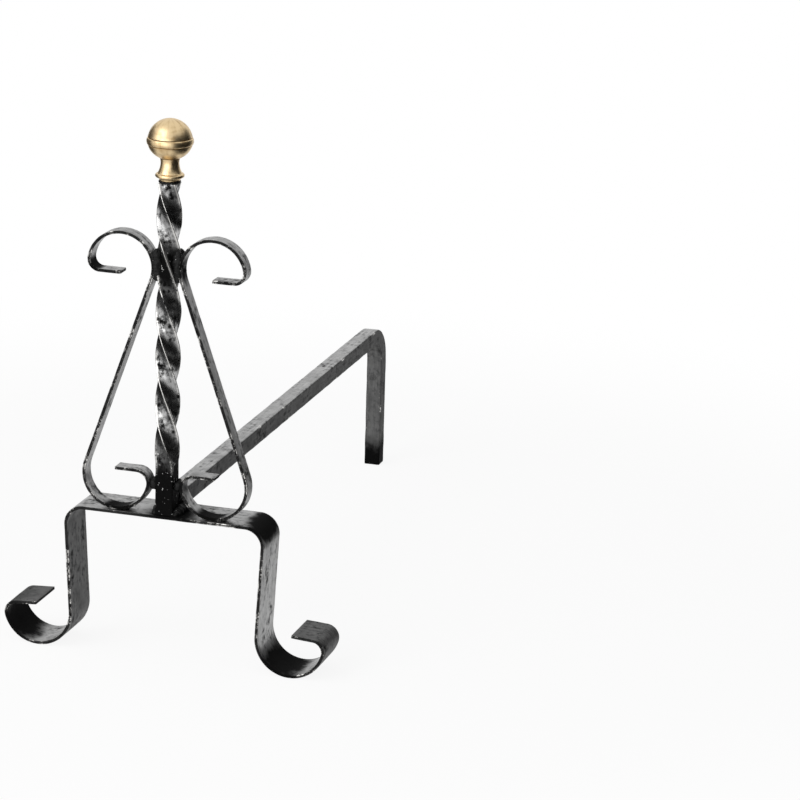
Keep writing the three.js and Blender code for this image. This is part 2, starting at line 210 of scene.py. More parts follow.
def soot_and_shade_at(point, spots):
    """1 in the middle of a spot, 0 outside all of them. A spot is a centre and three radii."""
    worst = 0.0
    for centre, radii in spots:
        reach = math.sqrt(sum(((p - c) / r) ** 2 for p, c, r in zip(point, centre, radii)))
        worst = max(worst, 1 - reach)
    return worst


def new_object(name, vertices, faces):
    mesh = bpy.data.meshes.new(name)
    mesh.from_pydata(vertices, [], faces)
    thing = bpy.data.objects.new(name, mesh)
    bpy.context.scene.collection.objects.link(thing)
    return thing


def skin(name, rings, along, around, edge, broad, spots=()):
    """Makes an object from equal rings, with both ends closed."""
    rings = np.array(rings)
    ring_count, count = rings.shape[:2]
    faces, facts, wide = [], [], []
    for ring in range(ring_count - 1):
        for i in range(count):
            j = (i + 1) % count
            low, high = ring * count, (ring + 1) * count
            faces.append((low + i, low + j, high + j, high + i))
            facts += [(along[ring], around[i], edge[i]), (along[ring], around[i + 1], edge[j]),
                      (along[ring + 1], around[i + 1], edge[j]), (along[ring + 1], around[i], edge[i])]
            wide += [broad[i], broad[j], broad[j], broad[i]]
    last = (ring_count - 1) * count
    faces.append(tuple(reversed(range(count))))
    facts += [(along[0], around[i], END_WEAR) for i in reversed(range(count))]
    faces.append(tuple(range(last, last + count)))
    facts += [(along[-1], around[i], END_WEAR) for i in range(count)]
    wide += [0.0] * (2 * count)
    points = rings.reshape(-1, 3).tolist()
    piece = new_object(name, points, faces)
    mesh = piece.data
    bar = mesh.attributes.new("bar", "FLOAT_VECTOR", "CORNER")
    bar.data.foreach_set("vector", np.array(facts, np.float32).ravel())
    face = mesh.attributes.new("broad", "FLOAT", "CORNER")
    face.data.foreach_set("value", np.array(wide, np.float32))
    soot_and_shade = mesh.attributes.new("soot_and_shade", "FLOAT", "POINT")
    soot_and_shade.data.foreach_set("value", [soot_and_shade_at(point, spots) for point in points])
    mesh.polygons.foreach_set("use_smooth", [True] * (len(faces) - 2) + [False, False])
    face_outward(mesh)
    return piece


def face_outward(mesh):
    """Turns every face over if the closed mesh is inside out."""
    volume = 0.0
    for polygon in mesh.polygons:
        corners = [mesh.vertices[i].co for i in polygon.vertices]
        for b, c in zip(corners[1:], corners[2:]):
            volume += corners[0].dot(b.cross(c)) / 6
    if volume < 0:
        mesh.flip_normals()


# %% A bar bent in the upright plane, with its width along y
END_ROUND = 0.35 * MM
END_STEPS = 3


def bent_bar(name, path, section, centre_y, seed, spots=(), rough=0.12 * MM, lay=lambda u, w, v: (u, w, v)):
    rings, along = [], []
    normals = np.array(section.normals)

    def ring(station, inset, offset):
        u, v, heading, run = station
        outline = section.shrunk(inset)
        points = []
        for (across, width), (na, nw), around in zip(outline, normals, section.around):
            bump = unevenness(run, around, seed, rough)
            across, width = across + na * bump, width + nw * bump
            points.append(lay(
                u - across * math.sin(heading) + offset * math.cos(heading),
                centre_y + width,
                v + across * math.cos(heading) + offset * math.sin(heading)))
        rings.append(points)
        along.append(run)

    turns = [step / END_STEPS * math.pi / 2 for step in range(END_STEPS)]
    for turn in turns:
        ring(path.stations[0], END_ROUND * (1 - math.sin(turn)), END_ROUND * (1 - math.cos(turn)))
    for station in path.stations[1:-1]:
        ring(station, 0, 0)
    for turn in reversed(turns):
        ring(path.stations[-1], END_ROUND * (1 - math.sin(turn)), -END_ROUND * (1 - math.cos(turn)))
    return skin(name, rings, along, section.around, section.edge, section.broad, spots)


print("the ends are rounded over by", END_ROUND / MM, "mm")

# %% [markdown]
# ## Shader arithmetic
#
# A finish is a recipe of masks: here it is rubbed, there it is black. Written as nodes, such sums become a web that
# nobody can read, so a small class wraps a socket and lets Python's own operators add the Math nodes. Colours are
# mixed by a Mix node, because a Math node would turn them grey.

# %% A socket that can be added, multiplied and clamped
class Socket:
    def __init__(self, recipe, socket):
        self.recipe, self.socket = recipe, socket

    def _math(self, operation, a, b):
        return self.recipe.add("ShaderNodeMath", {"operation": operation}, {0: a, 1: b})

    def __add__(self, other):
        return self._math("ADD", self, other)

    def __radd__(self, other):
        return self._math("ADD", other, self)

    def __sub__(self, other):
        return self._math("SUBTRACT", self, other)

    def __rsub__(self, other):
        return self._math("SUBTRACT", other, self)

    def __mul__(self, other):
        return self._math("MULTIPLY", self, other)

    def __rmul__(self, other):
        return self._math("MULTIPLY", other, self)

    def __pow__(self, other):
        return self._math("POWER", self, other)

    def between(self, low, high):
        """0 below low, 1 above high, and a smooth step in the middle."""
        return self.recipe.add(
            "ShaderNodeMapRange", {"interpolation_type": "SMOOTHSTEP", "clamp": True},
            {"Value": self, "From Min": low, "From Max": high, "To Min": 0.0, "To Max": 1.0})


print("a sum of sockets adds its Math nodes")


# %% A material and its nodes
class Recipe:
    def __init__(self, name):
        self.material = bpy.data.materials.new(name)
        self.material.use_nodes = True
        self.tree = self.material.node_tree
        self.shader = self.tree.nodes["Principled BSDF"]

    @classmethod
    def of_tree(cls, tree):
        """A recipe for a node tree that has no shader of its own yet, such as the world's."""
        recipe = cls.__new__(cls)
        recipe.tree = tree
        return recipe

    def add(self, kind, settings, inputs, output=0):
        """Adds a node: its type, its settings, and the values or links of its sockets. output may be a list."""
        node = self.tree.nodes.new(kind)
        for name, value in settings.items():
            setattr(node, name, value)
        for name, value in inputs.items():
            self.feed(node.inputs[name], value)
        if isinstance(output, list):
            return [Socket(self, node.outputs[name]) for name in output]
        return Socket(self, node.outputs[output])

    def feed(self, socket, value):
        if isinstance(value, Socket):
            self.tree.links.new(value.socket, socket)
        else:
            socket.default_value = value

    def set(self, **inputs):
        """Feeds the shader's own sockets, by name with spaces written as underscores."""
        for name, value in inputs.items():
            self.feed(self.shader.inputs[name.replace("_", " ").title().replace("Ior", "IOR")], value)
        return self.material

    def mix(self, factor, first, second):
        """A colour between two colours."""
        return self.add("ShaderNodeMix", {"data_type": "RGBA"}, {0: factor, 6: first, 7: second}, output=2)

    def noise(self, vector, scale, detail=2.0, roughness=0.5):
        return self.add("ShaderNodeTexNoise", {"noise_dimensions": "3D"}, {
            "Vector": vector, "Scale": scale, "Detail": detail, "Roughness": roughness})

    def stretched(self, vector, scale):
        return self.add("ShaderNodeVectorMath", {"operation": "MULTIPLY"}, {0: vector, 1: scale})

    def parts(self, vector):
        return self.add("ShaderNodeSeparateXYZ", {}, {0: vector}, output=["X", "Y", "Z"])

    def place(self):
        """Where a point is on its object, in metres."""
        return self.add("ShaderNodeTexCoord", {}, {}, output="Object")

    def attribute(self, name, output):
        return self.add("ShaderNodeAttribute", {"attribute_name": name}, {}, output=output)

    def bump(self, height, distance, strength=1.0):
        return self.add("ShaderNodeBump", {}, {"Height": height, "Distance": distance, "Strength": strength})


print("a recipe is ready for each finish")

# %% [markdown]
# ## Black iron, rubbed
#
# The iron was painted black and then rubbed, so the broad faces have gone to a mottled graphite grey with a fine
# grain along the bar. The narrow edges stay black, and only the sharpest corners shine. The faces under the arch and
# under the log bar, and the log bar's sides, are rubbed less and stay darker, which is painted shade. Where a weld
# was hot the black is thick and nobody rubs it off, and each piece carries a value for such places. The same value
# also paints shade inside the feet, round the log bar's rear foot and on the right of the post's head, paints a dark
# reflection on the right bend of the arch, and darkens the outer side of the scrolls' curls. The streaks are drawn
# in the bar's own coordinates, so they follow every bend and wind with the twist. One recipe serves every bar,
# because the same hand finished them all, and only the amount of rubbing and of painted shade changes from bar to
# bar. The post is rubbed the barest, and only it has caught spatter from the welds: bright grains that are also
# painted glints.

# %% The rubbed iron recipe
def rubbed_iron(name, bright, inner_rub_and_shade, narrow_rub_and_shade, wear, patch=0.16, shine_from=0.52, ridge=0.45, grain=3.0 * MM,
                shine_length=22 * MM, gloss=0.2, bare=0.8, metal=0.9, spatter_and_glints=0.0):
    """bright is the grey of a worn face. The next two numbers say how far the faces on the inside and the edge faces
    are worn as well; where they stay dark under the arch, under the log bar and on its sides, that is painted shade.
    wear and patch say how much black is left and how softly it ends. shine_from, ridge and shine_length are for the
    bright corners, bare and metal say how soon and how fully a worn place is metal, and gloss how smooth it is. The
    last number is for bright grains of weld metal on sooty places, which are also painted glints."""
    r = Recipe(name)
    bar, broad, soot_and_shade = r.attribute("bar", "Vector"), r.attribute("broad", "Fac"), r.attribute("soot_and_shade", "Fac")
    _, _, edge = r.parts(bar)
    place = r.place()
    blotch = r.noise(place, 42.0, detail=3.0, roughness=0.62)
    mottle = r.noise(place, 210.0, detail=4.0, roughness=0.65)
    fleck = r.noise(place, 900.0, detail=2.0)
    fine = r.noise(r.stretched(bar, (45.0, 1 / (0.5 * MM), 0.0)), 1.0, detail=2.0)
    coarse = r.noise(r.stretched(bar, (32.0, 1 / grain, 0.0)), 1.0, detail=4.0, roughness=0.6)

    # The faces on the inside and the edge faces are rubbed less. Under the arch, under the log bar and on its sides,
    # the darker face this leaves is painted shade.
    face_rub_and_shade = broad.between(0.5, 0.95) + (0.0 - broad).between(0.5, 0.95) * inner_rub_and_shade
    face_rub_and_shade = face_rub_and_shade + (1.0 - (broad * broad).between(0.2, 0.8)) * narrow_rub_and_shade
    # Black where the dark-spot value is high: soot at the welds, and painted shade and a painted dark reflection at
    # the other spots.
    soot_and_shade_black = (soot_and_shade + (blotch - 0.5) * 0.9 + (coarse - 0.5) * 0.4 + (mottle - 0.5) * 0.5).between(0.0, 0.5)
    worn = (blotch * 0.6 + coarse * 0.35 + mottle * 0.75 - 0.35).between(wear - patch, wear + patch)
    rubbed_and_lit = worn * face_rub_and_shade * (1.0 - soot_and_shade_black)

    along_edge = r.noise(r.stretched(bar, (1 / shine_length, 60.0, 0.0)), 1.0, detail=4.0, roughness=0.7)
    along_edge = along_edge + (fleck - 0.5) * 0.35 + (mottle - 0.5) * 0.45
    shine = edge.between(ridge, 0.97) * along_edge.between(shine_from, shine_from + 0.14)
    shine = shine * (1.0 - soot_and_shade_black * 0.5) * (1.0 - soot_and_shade.between(0.42, 0.55))

    tone = coarse * 0.45 + mottle * 0.45 + fine * 0.25 - 0.08
    low, high = bright * 0.45, bright * 1.55
    iron = r.mix(tone.between(0.25, 0.8), (low, low, low * 1.01, 1), (high, high, high * 0.99, 1))
    paint = r.mix(fleck, (0.002, 0.002, 0.002, 1), (0.006, 0.006, 0.006, 1))
    colour = r.mix(rubbed_and_lit, paint, iron)
    colour = r.mix(shine, colour, (0.66, 0.65, 0.63, 1))
    # Bright grains on sooty places: spatter from the welds, which are also painted glints.
    spatter_and_glint_grains = r.noise(place, 380.0, detail=1.0).between(0.68, 0.73) * soot_and_shade.between(0.1, 0.4)
    colour = r.mix(spatter_and_glint_grains * spatter_and_glints, colour, (0.5, 0.5, 0.49, 1))
    return r.set(
        base_color=colour,
        metallic=(rubbed_and_lit + shine * 0.5).between(0.0, bare) * metal,
        roughness=0.5 - rubbed_and_lit * gloss - shine * 0.1 + (fleck - 0.5) * 0.15,
        specular_ior_level=0.01,
        normal=r.bump(coarse * 0.5 + fleck * 0.3 + mottle * 0.5, 0.1 * MM, 0.6))


# Rubbing the faces on the inside and the edge faces less paints shade under the arch, under the log bar and on the
# log bar's sides.
strap_iron = rubbed_iron("rubbed_iron_strap", bright=0.33, inner_rub_and_shade=0.38, narrow_rub_and_shade=0.05, wear=0.36)
scroll_iron = rubbed_iron("rubbed_iron_scroll", bright=0.32, inner_rub_and_shade=0.9, narrow_rub_and_shade=0.04, wear=0.36)
log_iron = rubbed_iron("rubbed_iron_log_bar", bright=0.33, inner_rub_and_shade=0.35, narrow_rub_and_shade=0.26, wear=0.34, shine_from=0.6)
post_iron = rubbed_iron("rubbed_iron_post", bright=0.4, inner_rub_and_shade=1.0, narrow_rub_and_shade=0.0, wear=0.49, patch=0.13,
                        shine_from=0.38, ridge=0.1, grain=3.4 * MM, shine_length=60 * MM, gloss=0.29, bare=0.3,
                        metal=1.0, spatter_and_glints=0.6)
print("irons:", strap_iron.name, scroll_iron.name, log_iron.name, post_iron.name)

# %% [markdown]
# ## Weld metal, steel and brass
#
# The welds were never dressed: they are black lumps with a few bright grains of spatter, which are also painted
# glints. The stud is bare turned steel. The ball is brass that was polished, handled and polished again: a metal
# with no paint on it, whose colour and gloss change softly in bands round the lathe's axis, where the cloth reached
# and where it never did.

# %% The other finishes
def weld_black():
    r = Recipe("weld_black")
    place = r.place()
    lump = r.noise(place, 420.0, detail=4.0, roughness=0.6)
    grit = r.noise(place, 1500.0, detail=2.0)
    # Bright grains of spatter, which are also painted glints.
    spatter_and_glints = r.noise(place, 330.0, detail=1.0).between(0.74, 0.78)
    return r.set(
        base_color=r.mix(spatter_and_glints * 0.7, r.mix(grit, (0.003, 0.003, 0.003, 1), (0.012, 0.012, 0.012, 1)),
                         (0.5, 0.5, 0.49, 1)),
        metallic=spatter_and_glints * 0.9,
        roughness=0.32 + lump * 0.25,
        specular_ior_level=0.12,
        normal=r.bump(lump + grit * 0.4, 0.5 * MM, 0.8))


def turned_steel():
    r = Recipe("turned_steel")
    ring = r.noise(r.stretched(r.place(), (40.0, 40.0, 9000.0)), 1.0, detail=2.0)
    return r.set(
        base_color=r.mix(ring, (0.34, 0.34, 0.33, 1), (0.5, 0.5, 0.49, 1)),
        metallic=1.0,
        roughness=0.3 + ring * 0.15,
        normal=r.bump(ring, 0.05 * MM, 0.4))


def polished_brass():
    r = Recipe("polished_brass")
    x, y, z = r.parts(r.place())
    turn = r.add("ShaderNodeMath", {"operation": "ARCTAN2"}, {0: y - POST_Y, 1: x})
    polar = r.add("ShaderNodeCombineXYZ", {}, {0: turn * 2.2, 1: z * 30.0, 2: 0.0})
    cloudy = r.noise(polar, 1.6, detail=3.0, roughness=0.55)
    streak = r.noise(r.stretched(polar, (0.35, 6.0, 1.0)), 2.0, detail=2.0)
    speck = r.noise(r.place(), 900.0, detail=2.0)
    dull = (cloudy * 0.7 + streak * 0.45 - 0.1).between(0.42, 0.72)
    colour = r.mix(dull, (0.75, 0.58, 0.34, 1), (0.46, 0.32, 0.16, 1))
    return r.set(
        base_color=colour,
        metallic=1.0,
        roughness=0.36 + dull * 0.12 + (speck - 0.5) * 0.08,
        normal=r.bump(cloudy * 1.0 + streak * 0.3, 0.35 * MM, 0.35))


weld_metal, steel, brass = weld_black(), turned_steel(), polished_brass()
print("finishes:", weld_metal.name, steel.name, brass.name)

# %% [markdown]
# ## Handing a piece over
#
# Each piece stands for a plain solid and moves with the same body, so one call gives it its finish, puts it on its
# body and hides the solids that it stands for.

# %% Hand a piece over
def settle(piece, material, body, slot, *nodes):
    """Gives a piece its finish and its body, and hides the solids that it stands for."""
    piece.data.materials.append(material)
    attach(piece, body)
    if nodes:
        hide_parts(*nodes)


# %% [markdown]
# ## The foot strap
#
# One flat bar makes the arch, both legs and both feet. The feet are rolled outward into a curl that ends in a flat
# tip, so that no edge digs into the hearth. Its centre line is walked from the left tip to the right one.

# %% Foot strap
ARCH_WIDTH = 161 * MM
ARCH_BEND = 13 * MM
LEG_LEAN = math.radians(3)
FOOT_RADIUS = 28.2 * MM
FOOT_HOOK = 10 * MM
FOOT_HOOK_START = math.radians(75)
FOOT_TIP_RISE = math.radians(4)
FOOT_TIP = 17 * MM


def half_strap():
    half = FLAT_BAR / 2
    bend, foot = ARCH_BEND + half, FOOT_RADIUS - half
    leg_top = STRAP_TOP - half - bend * (1 + math.sin(LEG_LEAN))
    leg_foot = FOOT_RADIUS + foot * math.sin(LEG_LEAN)
    return (BarPath(0, STRAP_TOP - half, 0)
            .straight(ARCH_WIDTH / 2 - ARCH_BEND - FLAT_BAR)
            .bend(bend, -(math.pi / 2 + LEG_LEAN))
            .straight((leg_top - leg_foot) / math.cos(LEG_LEAN))
            .bend(foot, math.pi / 2 + LEG_LEAN + FOOT_HOOK_START)
            .bend(FOOT_HOOK - half, math.pi - FOOT_HOOK_START - FOOT_TIP_RISE)
            .straight(FOOT_TIP))


def whole_strap():
    right = half_strap().stations
    total = right[-1][3]
    path = BarPath(0, 0, 0)
    path.stations = [(-u, v, -heading, total - run) for u, v, heading, run in reversed(right)]
    path.stations += [(u, v, heading, total + run) for u, v, heading, run in right[1:]]
    return path


def spot(x, z, *reach, y=POST_Y):
    """A dark place, sooty at a weld and elsewhere painted shade: its centre and its reach in x, y and z, in
    millimetres. y is read from a solid, in metres.
    """
    return Vector((x * MM, y, z * MM)), [side * MM for side in reach]


# Soot at the post's weld. The other three spots are painted: a dark reflection on the arch's right bend, and shade
# inside both foot curls.
STRAP_SOOT_AND_SHADE = [
    spot(4, 118, 27, 30, 9),
    spot(75, 113, 17, 40, 17, y=STRAP_Y),
    spot(92, 8, 24, 60, 20, y=STRAP_Y),
    spot(-124, 14, 26, 60, 26, y=STRAP_Y),
]
strap_section = Section(FLAT_BAR, STRAP_WIDTH, FLAT_CORNER, 14)
strap_path = whole_strap()
foot_strap = bent_bar("strap", strap_path, strap_section, STRAP_Y, seed=1, spots=STRAP_SOOT_AND_SHADE)
settle(foot_strap, strap_iron, "frame", "black_iron", "foot_strap")
print("the strap was cut to", round(strap_path.stations[-1][3] / MM), "mm before it was bent")

# %% [markdown]
# ## The twisted post
#
# A square bar is heated along its middle, clamped at both ends and wrung round. Six quarter turns give the barley
# twist, and the plain foot is what sat in the vice. The corners end up softer than they were and the faces belly in
# a little, because the twist stretches the corners most. A Simple Deform modifier would twist the foot as well, so
# the rings are turned one by one.

# %% Twisted post
PLAIN_FOOT = 40.9 * MM
QUARTER_TURNS = 6
POST_CORNER = 0.9 * MM
POST_STEP = 1.3 * MM
FACE_HOLLOW = 0.9 * MM
HOLLOW_FADES = 10 * MM     # above the plain foot
POST_ROUGH = 0.3 * MM
POST_MARK = 12 * MM
# Soot at the post's foot and at the neck welds. The last spot is painted shade on the right front of the post's
# head.
POST_SOOT_AND_SHADE = [
    spot(0, 122, 60, 60, 62),
    spot(0, 309, 17, 17, 27),
    spot(9, 366, 8, 8, 14, y=POST_Y - 9 * MM),
]


def twist_at(height):
    """The twist is left-handed, so the bar turns back as it climbs."""
    foot = post_low.z + PLAIN_FOOT
    share = min(max((height - foot) / (post_high.z - foot), 0), 1)
    return -share * QUARTER_TURNS * math.pi / 2


def twisted_post():
    section = Section(BAR_SIDE, BAR_SIDE, POST_CORNER, 8)
    height = post_high.z - post_low.z
    steps = round(height / POST_STEP)
    stops = [(END_ROUND * (1 - math.sin(t)), END_ROUND * (1 - math.cos(t))) for t in (0, 0.6, 1.1)]
    levels = [(lift, inset) for inset, lift in stops]
    levels += [(height * step / steps, 0.0) for step in range(1, steps)]
    levels += [(height - lift, inset) for inset, lift in reversed(stops)]
    rings, along = [], []
    for lift, inset in levels:
        z = post_low.z + lift
        twist = twist_at(z)
        wrung = min(max((lift - PLAIN_FOOT) / HOLLOW_FADES, 0), 1)
        points = []
        for (a, w), (na, nw), around in zip(section.shrunk(inset), section.normals, section.around):
            bump = unevenness(lift, around, 21, POST_ROUGH, POST_MARK)
            bump -= FACE_HOLLOW * wrung * (1 - min(1, 2.1 * min(abs(a), abs(w)) / BAR_SIDE) ** 2)
            a, w = a + na * bump, w + nw * bump
            points.append((a * math.cos(twist) - w * math.sin(twist),
                           POST_Y + a * math.sin(twist) + w * math.cos(twist), z))
        rings.append(points)
        along.append(lift)
    return skin("post", rings, along, section.around, section.edge, [1.0] * len(section.edge), POST_SOOT_AND_SHADE)


settle(twisted_post(), post_iron, "frame", "black_iron", "twisted_post")
print("one quarter turn takes", round((post_high.z - post_low.z - PLAIN_FOOT) / QUARTER_TURNS / MM, 1), "mm")

# %% [markdown]
# ## The log bar
#
# The log bar is the same square bar, left plain, welded behind the post and bent down at the rear to make the third
# foot. The path is laid out in the y-z plane, so `lay` swaps the axes as the points are made.

# %% Log bar
REAR_BEND = 18 * MM
BAR_CORNER = 1.4 * MM
BAR_ROUGH = 0.2 * MM
END_BEVEL = 5.4 * MM      # the front end is bevelled, to give the weld a groove


def log_bar():
    bend = REAR_BEND + BAR_SIDE / 2
    axis_z = bar_high.z - BAR_SIDE / 2
    path = (BarPath(bar_low.y, axis_z, 0)
            .straight(bar_high.y - bar_low.y - BAR_SIDE / 2 - bend)
            .bend(bend, -math.pi / 2)
            .straight(axis_z - bend))
    section = Section(BAR_SIDE, BAR_SIDE, BAR_CORNER, 8)
    # Soot at the weld behind the post, and painted shade round the rear foot, where it stands on the floor.
    spots = [spot(0, 125, 20, 26, 20, y=POST_Y + 10 * MM), spot(0, 0, 40, 40, 30, y=bar_high.y)]
    piece = bent_bar("log_rest", path, section, 0, 5, spots, BAR_ROUGH, lay=lambda u, w, v: (w, u, v))
    for vertex in piece.data.vertices:
        bevel = bar_high.z - END_BEVEL + (vertex.co.y - bar_low.y)
        vertex.co.z = min(vertex.co.z, bevel)
    return piece, path.stations[-1][3]


log_rest, log_length = log_bar()
settle(log_rest, log_iron, "frame", "black_iron", "log_bar")
print("the log bar was cut to", round(log_length / MM), "mm")

# %% [markdown]
# ## The scrolls
#
# Each scroll is narrow flat bar rolled both ways into an S: a loop that stands on the strap with a hook tucked
# inside it, a long straight that leans in, and a curl that turns out over the top. The straight is the line that
# touches both circles, and its lean follows from where their centres are.

# %% Scrolls
HOOK_WELD = 5 * MM
LOOP = 27.5 * MM
LOOP_HOOK = 11 * MM
LOOP_HOOK_START = math.radians(75)
LOOP_TIP = 17 * MM
CURL = 26.8 * MM
CURL_HOOK = 9.5 * MM
CURL_HOOK_START = math.radians(80)
CURL_TIP = 17 * MM
CURL_HEIGHT = 308 * MM

HOOK_SIDE = BAR_SIDE / 2 + HOOK_WELD
HOOK_U = HOOK_SIDE + LOOP_HOOK
LOOP_U = HOOK_U + (LOOP - LOOP_HOOK) * math.sin(LOOP_HOOK_START)
LOOP_HEIGHT = STRAP_TOP + SEAT_GAP + LOOP
HOOK_HEIGHT = LOOP_HEIGHT - (LOOP - LOOP_HOOK) * math.cos(LOOP_HOOK_START)
NECK_SIDE = POST_ENVELOPE + SEAT_GAP


def scroll_path():
    half = FLAT_BAR / 2
    loop, hook, curl = LOOP - half, LOOP_HOOK - half, CURL - half
    across = NECK_SIDE + CURL - LOOP_U
    rise = CURL_HEIGHT - LOOP_HEIGHT
    spread = math.hypot(across, rise)
    lean = math.atan2(rise, across) + math.asin((loop + curl) / spread)
    hook_heading = 2 * math.pi - LOOP_HOOK_START
    return (BarPath(HOOK_U + LOOP_TIP, HOOK_HEIGHT + hook, math.pi)
            .straight(LOOP_TIP)
            .bend(hook, hook_heading - math.pi)
            .bend(loop, 2 * math.pi + lean - hook_heading)
            .straight(math.sqrt(spread ** 2 - (loop + curl) ** 2))
            .bend(curl, -(lean + CURL_HOOK_START))
            .bend(CURL_HOOK - half, CURL_HOOK_START - math.pi)
            .straight(CURL_TIP))


# Soot at the neck, hook and foot welds. The last two spots darken the outer side of each curl.
SCROLL_DARK_SPOTS = [
    spot(0, 309, 17, 30, 26),
    spot(0, 140, 22, 30, 18),
    spot(36, 120, 16, 30, 6),
    spot(-36, 120, 16, 30, 6),
    spot(55, 293, 16, 30, 12),
    spot(-62, 300, 12, 30, 16),
]
scroll_section = Section(FLAT_BAR, SCROLL_WIDTH, FLAT_CORNER, 6)
for side, path, seed in (("left", scroll_path().mirrored(), 11), ("right", scroll_path(), 12)):
    scroll = bent_bar(f"scroll_{side}", path, scroll_section, POST_Y, seed, SCROLL_DARK_SPOTS)
    settle(scroll, scroll_iron, "frame", "black_iron", f"{side}_scroll")
print("each scroll was cut to", round(scroll_path().stations[-1][3] / MM), "mm")

# %% [markdown]
# ## Welds
#
# A stick weld is laid down in overlapping drops, so a bead is a rope that swells and narrows every couple of
# millimetres. Each one is a short sweep of a round section whose radius ripples, sunk into the bars that it joins.
# Sculpted blobs would lose that rhythm, and every bead would have to be shaped by hand.

# %% Weld beads
BEAD_AROUND = 20
BEAD_STEP = 0.35 * MM
DROP = 2.6 * MM
DROP_DRIFT = 0.8          # how far the drops stray from an even rhythm
DRIFT_SIZE = 5 * MM
RIPPLE = 0.04
LUMP_SIZE = 3 * MM
BLUNT = 3.2               # higher is a more sudden end


def bead(name, start, end, radius_a, radius_b, across, seed, lumpy=0.34):
    """A lumpy rope from start to end, with radius_a along across and radius_b square to it."""
    start, end, across = Vector(start), Vector(end), Vector(across)
    length = (end - start).length
    line = (end - start).normalized()
    upright = line.cross(across)
    steps = max(12, round(length / BEAD_STEP))
    rings = []
    for step in range(steps + 1):
        share = step / steps
        taper = math.sqrt(max(1 - abs(2 * share - 1) ** BLUNT, 0.004))
        drop = share * length / DROP + DROP_DRIFT * noise.noise(Vector((share * length / DRIFT_SIZE, seed, 2)))
        ripple = 1 + RIPPLE * math.sin(2 * math.pi * drop)
        middle = start + line * (length * share)
        points = []
        for i in range(BEAD_AROUND):
            angle = 2 * math.pi * i / BEAD_AROUND
            a, b = radius_a * math.cos(angle), radius_b * math.sin(angle)
            lump = 1 + lumpy * noise.noise(Vector((share * length / LUMP_SIZE, math.cos(angle) * 1.3 + seed,
                                                   math.sin(angle) * 1.3)))
            points.append(middle + (across * a + upright * b) * (taper * ripple * lump))
        rings.append([tuple(p) for p in points])
    along = [length * step / steps for step in range(steps + 1)]
    around = [i * DROP for i in range(BEAD_AROUND + 1)]
    flat = [0.0] * BEAD_AROUND
    return skin(name, rings, along, around, flat, flat)


def weld(name, *shape, seed):
    settle(bead(f"bead_{name}", *shape, seed=seed), weld_metal, "frame", "weld", name)


# Each bead's two radii, and how far its middle lies inside the box of its solid
NECK_BEAD, NECK_SINK, NECK_INSET = (4.0 * MM, 3.0 * MM), 1.2 * MM, 2.4 * MM
HOOK_BEAD = 3.4 * MM, 4.6 * MM
FOOT_BEAD, FOOT_SINK = (1.9 * MM, 1.9 * MM), 0.4 * MM
BASE_BEAD, BASE_LIFT = (4.3 * MM, 4.3 * MM), 0.6 * MM
END_BEAD = 4.2 * MM, 4.4 * MM
CORNER_SINK = 0.8 * MM

for side, sign in (("left", -1), ("right", 1)):
    for place, facing in (("front", -1), ("back", 1)):
        low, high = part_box(f"{side}_neck_weld_{place}")
        x = sign * (NECK_SIDE - NECK_SINK)
        y = POST_Y + facing * (SCROLL_WIDTH / 2 - NECK_INSET)
        weld(f"{side}_neck_weld_{place}", (x, y, low.z), (x, y, high.z),
             *NECK_BEAD, (1, 0, 0), seed=3 + sign + facing * 0.3)
    low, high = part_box(f"{side}_hook_weld")
    middle = (low + high) / 2
    weld(f"{side}_hook_weld", (middle.x, low.y, middle.z), (middle.x, high.y, middle.z),
         *HOOK_BEAD, (1, 0, 0), seed=7 + sign)
    low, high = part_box(f"{side}_scroll_foot_weld")
    y, z = low.y + FOOT_SINK, low.z + FOOT_SINK / 2
    weld(f"{side}_scroll_foot_weld", (low.x, y, z), (high.x, y, z), *FOOT_BEAD, (0, 1, 0), seed=11 + sign)
    low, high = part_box(f"{side}_base_weld")
    x, z = (low.x if sign > 0 else high.x) + sign * CORNER_SINK, low.z + BASE_LIFT
    weld(f"{side}_base_weld", (x, low.y, z), (x, high.y, z), *BASE_BEAD, (1, 0, 0), seed=15 + sign)

low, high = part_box("bar_end_weld")
y, z = low.y + CORNER_SINK, bar_high.z - CORNER_SINK
weld("bar_end_weld", (low.x, y, z), (high.x, y, z), *END_BEAD, (0, 1, 0), seed=19)

# %% [markdown]
# ## The finial
#
# Everything brass was turned or spun on a lathe, so each piece is an outline revolved about the post's axis. The
# ball is two thin shells with a bead between them, and the two dark lines on either side of the bead are real gaps.
# A Screw modifier could revolve it too, but here the point on the axis stays one point.

# %% Revolve an outline
TURN_STEPS = 96
SHARP = math.radians(34)   # an edge with a greater angle stays crisp


def revolve(name, outline, foot_z, closed):
    """outline is a list of (radius, lift). A closed outline joins its last point to its first."""
    count = len(outline)
    vertices, faces, index = [], [], {}
    for i, (radius, lift) in enumerate(outline):
        for step in range(TURN_STEPS if radius > 0 else 1):
            angle = 2 * math.pi * step / TURN_STEPS
            index[i, step] = len(vertices)
            vertices.append((radius * math.cos(angle), POST_Y + radius * math.sin(angle), foot_z + lift))

    def at(i, step):
        return index[i, step % TURN_STEPS if outline[i][0] > 0 else 0]

    for i in range(count if closed else count - 1):
        j = (i + 1) % count
        for step in range(TURN_STEPS):
            corners = [at(i, step), at(i, step + 1), at(j, step + 1), at(j, step)]
            unique = list(dict.fromkeys(corners))
            if len(unique) > 2:
                faces.append(unique)
    piece = new_object(name, vertices, faces)
    face_outward(piece.data)
    piece.data.polygons.foreach_set("use_smooth", [True] * len(faces))
    piece.data.set_sharp_from_angle(angle=SHARP)
    return piece


